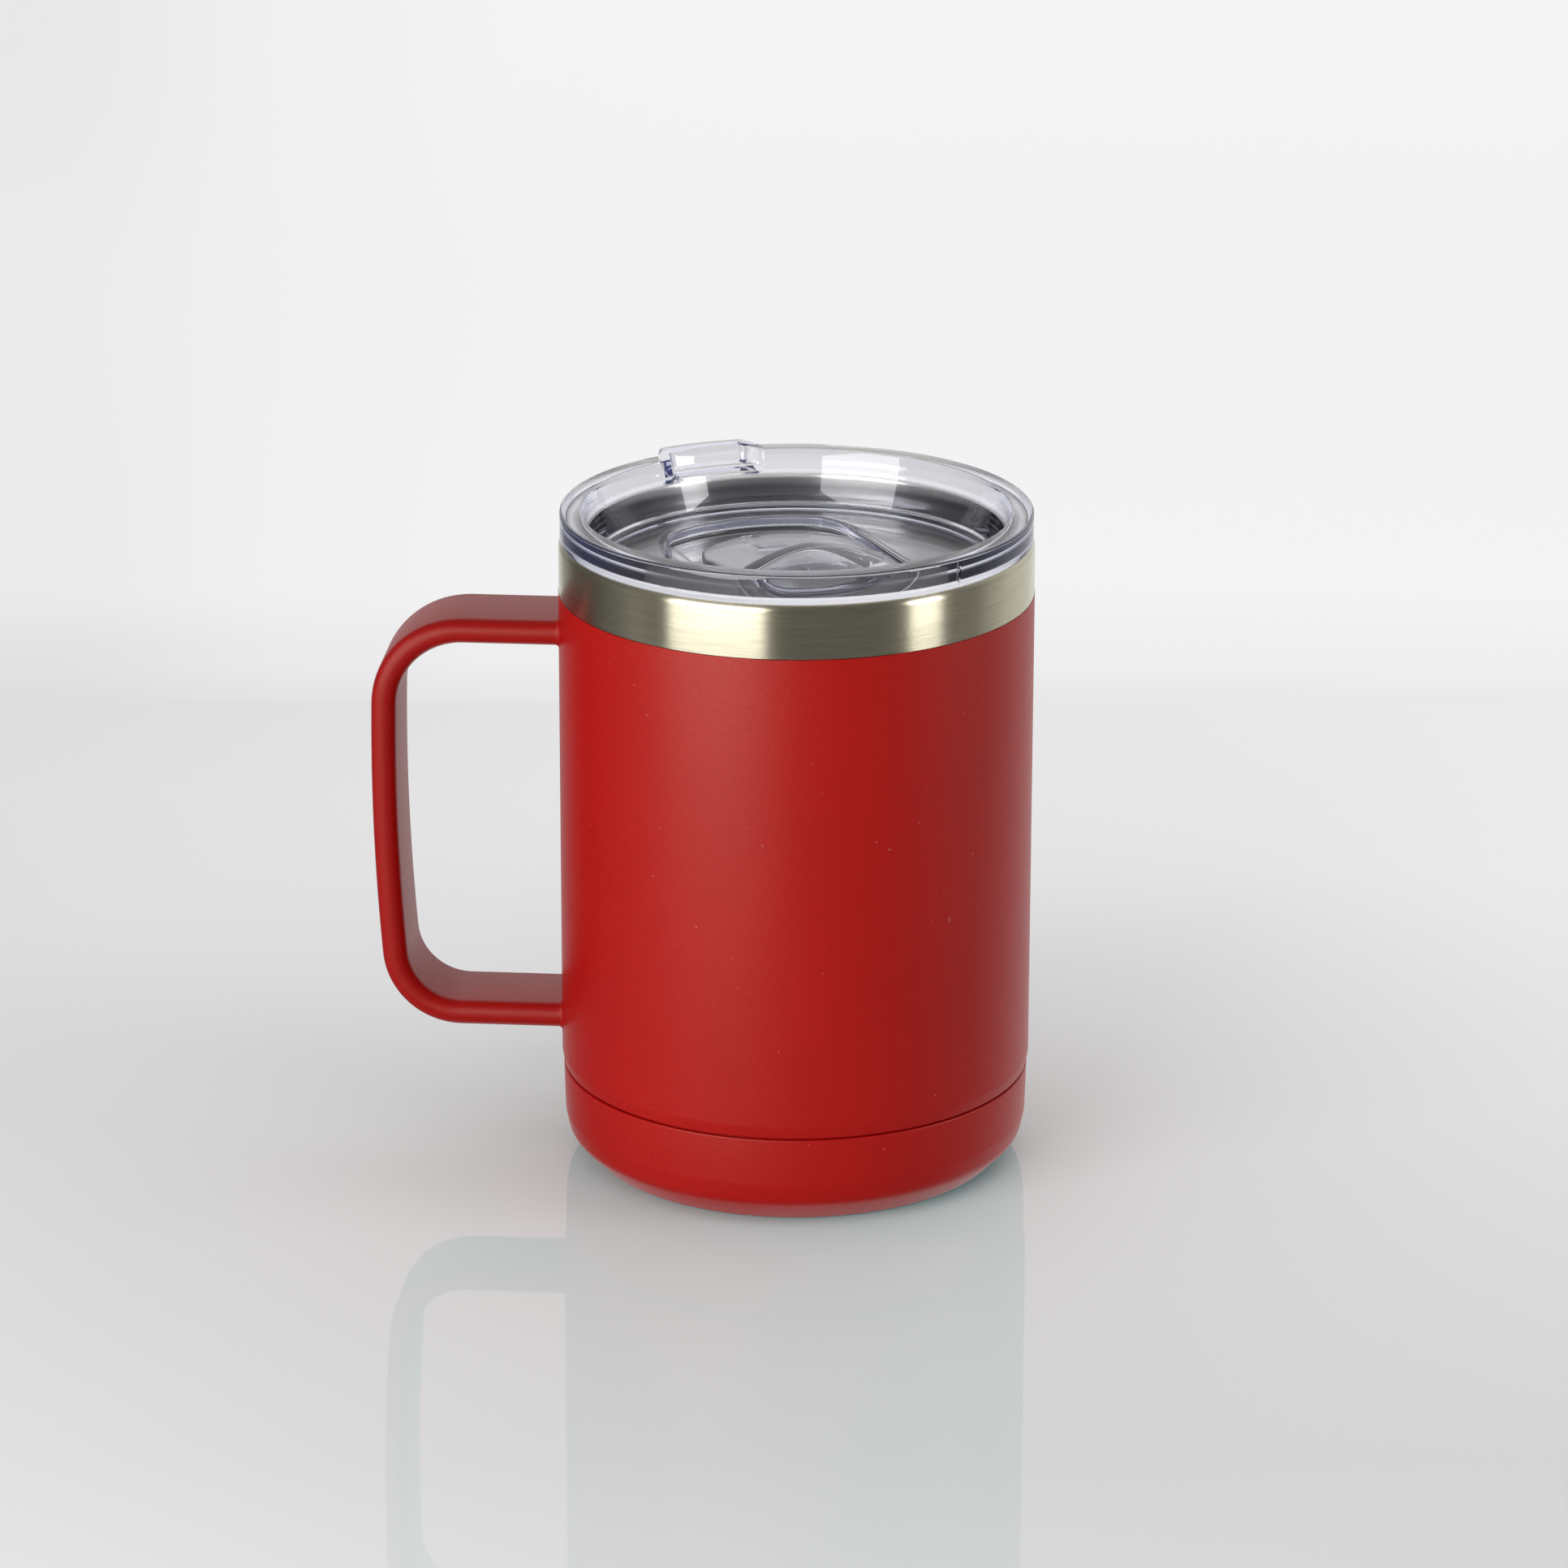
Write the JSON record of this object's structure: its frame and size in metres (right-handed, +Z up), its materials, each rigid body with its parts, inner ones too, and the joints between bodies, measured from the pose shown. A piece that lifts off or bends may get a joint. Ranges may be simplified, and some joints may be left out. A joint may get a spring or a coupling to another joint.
{
  "type": "insulated travel mug",
  "caption": "Double-wall insulated mug with a strip handle, bare steel rim band and a clear push-in lid with a sliding closure.",
  "frame": {"origin": "centre of the flat base, on the plane the mug stands on", "axes": "+Z up along the mug's axis, handle towards -X"},
  "size_m": [0.1199, 0.0877, 0.1224],
  "materials": {
    "powder_coat": "fine-grained satin powder coat",
    "steel": "brushed round the axis",
    "clear_plastic": "clear, polished, faint violet tint",
    "silicone": "translucent satin silicone",
    "solder_glass": "dark fused glass",
    "getter": "sintered matt metal",
    "foil": "thin bright copper foil"
  },
  "bodies": {
    "mug": {"outer_shell": "powder_coat", "inner_liner": "steel", "chamber_plate": "steel", "exhaust_plug": "solder_glass", "getter_pill": "getter", "heat_shield_foil": "foil", "base_cup": "powder_coat", "handle": "powder_coat"},
    "seal": {"lid_gasket": "silicone"},
    "lid": {"lid_body": "clear_plastic"},
    "slider": {"slider": "clear_plastic", "slider_clip": "clear_plastic"}
  },
  "joints": [
    {"name": "lid_lift", "type": "slide", "parent": "mug", "child": "seal", "axis": [0, 0, 1], "range_m": [0, 0.06]},
    {"name": "lid_turn", "type": "hinge", "parent": "seal", "child": "lid", "pos_m": [0, 0, 0.1108], "axis": [0, 0, 1], "continuous": true},
    {"name": "slider_slide", "type": "slide", "parent": "lid", "child": "slider", "axis": [-0.4617, 0.887, 0], "range_m": [0, 0.0098]}
  ]
}
